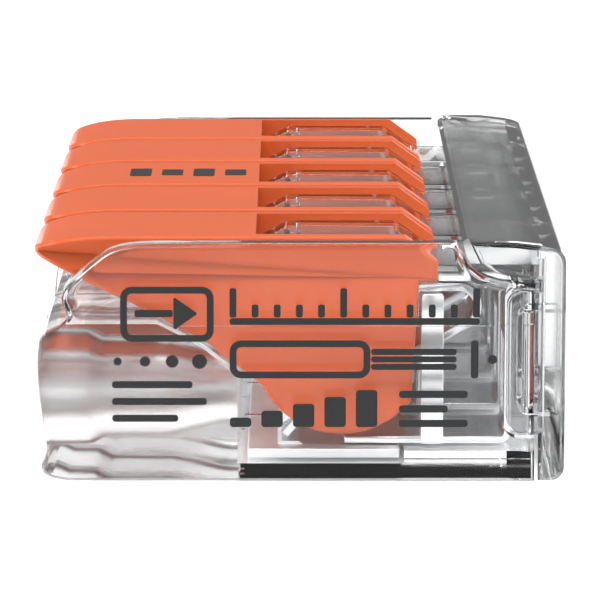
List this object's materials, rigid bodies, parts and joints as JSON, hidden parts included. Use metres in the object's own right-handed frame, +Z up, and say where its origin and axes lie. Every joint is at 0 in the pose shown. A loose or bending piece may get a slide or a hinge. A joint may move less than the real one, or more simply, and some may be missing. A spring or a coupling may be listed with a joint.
{
  "type": "lever wire connector",
  "caption": "Compact lever wire connector: clear housing with a row of funnel entries, flip-up levers, clamp springs, one shared busbar and a latched rear cover.",
  "frame": {"origin": "middle of the underside of the housing, in the plane it rests on", "axes": "+Y along the row of poles; +Z up, out of the underside; +X from the wire entries to the rear cover"},
  "size_m": [0.0186, 0.03, 0.0085],
  "materials": {
    "clear_plastic": "clear polished polycarbonate",
    "orange_plastic": "orange moulded plastic, fine satin",
    "spring_steel": "bright spring steel",
    "frame_steel": "tinned steel strip",
    "tinned_copper": "tin-plated copper"
  },
  "bodies": {
    "housing": {"housing": "clear_plastic", "rear_cover": "clear_plastic", "busbar": "tinned_copper", "spring_bow_1": "spring_steel", "spring_bow_2": "spring_steel", "spring_bow_3": "spring_steel", "spring_bow_4": "spring_steel", "spring_bow_5": "spring_steel", "holding_frame_1": "frame_steel", "holding_frame_2": "frame_steel", "holding_frame_3": "frame_steel", "holding_frame_4": "frame_steel", "holding_frame_5": "frame_steel"},
    "lever_1": {"lever_1": "orange_plastic"},
    "clamp_leg_1": {"clamp_leg_1": "spring_steel"},
    "lever_2": {"lever_2": "orange_plastic"},
    "clamp_leg_2": {"clamp_leg_2": "spring_steel"},
    "lever_3": {"lever_3": "orange_plastic"},
    "clamp_leg_3": {"clamp_leg_3": "spring_steel"},
    "lever_4": {"lever_4": "orange_plastic"},
    "clamp_leg_4": {"clamp_leg_4": "spring_steel"},
    "lever_5": {"lever_5": "orange_plastic"},
    "clamp_leg_5": {"clamp_leg_5": "spring_steel"}
  },
  "joints": [
    {"name": "lever_1_flip", "type": "hinge", "parent": "housing", "child": "lever_1", "pos_m": [0.0015, -0.0112, 0.0046], "axis": [0, 1, 0], "range_deg": [0, 90]},
    {"name": "lever_2_flip", "type": "hinge", "parent": "housing", "child": "lever_2", "pos_m": [0.0015, -0.0056, 0.0046], "axis": [0, 1, 0], "range_deg": [0, 90]},
    {"name": "lever_3_flip", "type": "hinge", "parent": "housing", "child": "lever_3", "pos_m": [0.0015, 0, 0.0046], "axis": [0, 1, 0], "range_deg": [0, 90]},
    {"name": "lever_4_flip", "type": "hinge", "parent": "housing", "child": "lever_4", "pos_m": [0.0015, 0.0056, 0.0046], "axis": [0, 1, 0], "range_deg": [0, 90]},
    {"name": "lever_5_flip", "type": "hinge", "parent": "housing", "child": "lever_5", "pos_m": [0.0015, 0.0112, 0.0046], "axis": [0, 1, 0], "range_deg": [0, 90]},
    {"name": "clamp_leg_1_lift", "type": "hinge", "parent": "housing", "child": "clamp_leg_1", "pos_m": [0.0056, -0.0112, 0.0059], "axis": [0, 1, 0], "range_deg": [0, 22.5]},
    {"name": "clamp_leg_2_lift", "type": "hinge", "parent": "housing", "child": "clamp_leg_2", "pos_m": [0.0056, -0.0056, 0.0059], "axis": [0, 1, 0], "range_deg": [0, 22.5]},
    {"name": "clamp_leg_3_lift", "type": "hinge", "parent": "housing", "child": "clamp_leg_3", "pos_m": [0.0056, 0, 0.0059], "axis": [0, 1, 0], "range_deg": [0, 22.5]},
    {"name": "clamp_leg_4_lift", "type": "hinge", "parent": "housing", "child": "clamp_leg_4", "pos_m": [0.0056, 0.0056, 0.0059], "axis": [0, 1, 0], "range_deg": [0, 22.5]},
    {"name": "clamp_leg_5_lift", "type": "hinge", "parent": "housing", "child": "clamp_leg_5", "pos_m": [0.0056, 0.0112, 0.0059], "axis": [0, 1, 0], "range_deg": [0, 22.5]}
  ],
  "couplings": [
    {"joint": "clamp_leg_1_lift", "follows": "lever_1_flip", "ratio": 0.24444},
    {"joint": "clamp_leg_2_lift", "follows": "lever_2_flip", "ratio": 0.24444},
    {"joint": "clamp_leg_3_lift", "follows": "lever_3_flip", "ratio": 0.24444},
    {"joint": "clamp_leg_4_lift", "follows": "lever_4_flip", "ratio": 0.24444},
    {"joint": "clamp_leg_5_lift", "follows": "lever_5_flip", "ratio": 0.24444}
  ]
}
